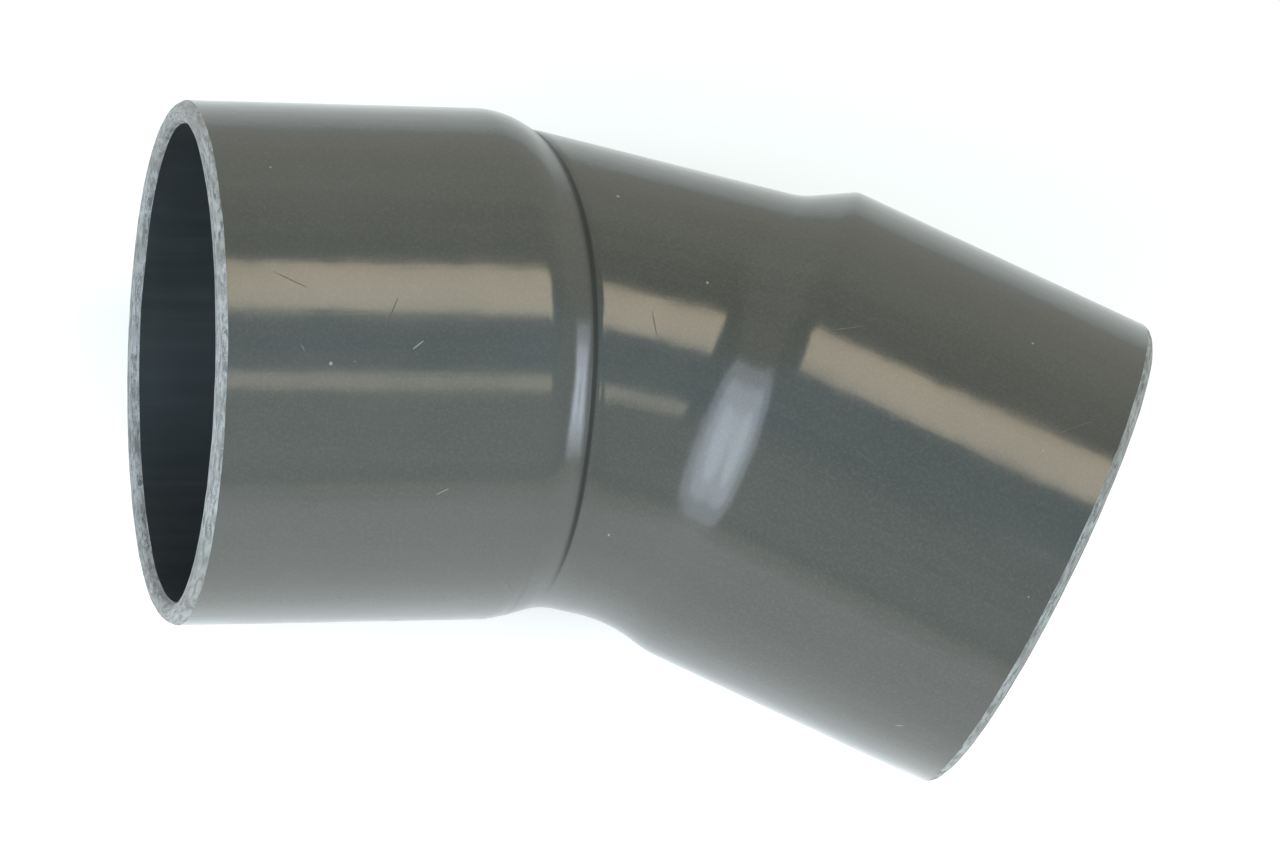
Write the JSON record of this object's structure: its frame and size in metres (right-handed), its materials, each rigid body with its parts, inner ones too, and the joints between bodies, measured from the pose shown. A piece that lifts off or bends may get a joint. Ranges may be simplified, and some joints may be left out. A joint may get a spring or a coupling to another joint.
{
  "type": "pvc elbow fitting",
  "caption": "Plain grey PVC pipe elbow with a shallow bend and a plain solvent-cement socket, widened from the pipe, at each end.",
  "frame": {"origin": "centre of the inlet socket's seat, on the bore's axis where the inserted pipe ends", "axes": "+X along the inlet socket's axis, into the fitting; the fitting bends towards -Y; +Z square to the bend plane, so the fitting lies on its side"},
  "size_m": [0.2336, 0.1666, 0.1208],
  "materials": {
    "pvc": "semi-gloss dark grey PVC, lighter where it was sawn and chamfered"
  },
  "bodies": {
    "root": {"inlet_socket": "pvc", "inlet_shoulder": "pvc", "bend_pipe": "pvc", "outlet_shoulder": "pvc", "outlet_socket": "pvc"}
  },
  "joints": []
}
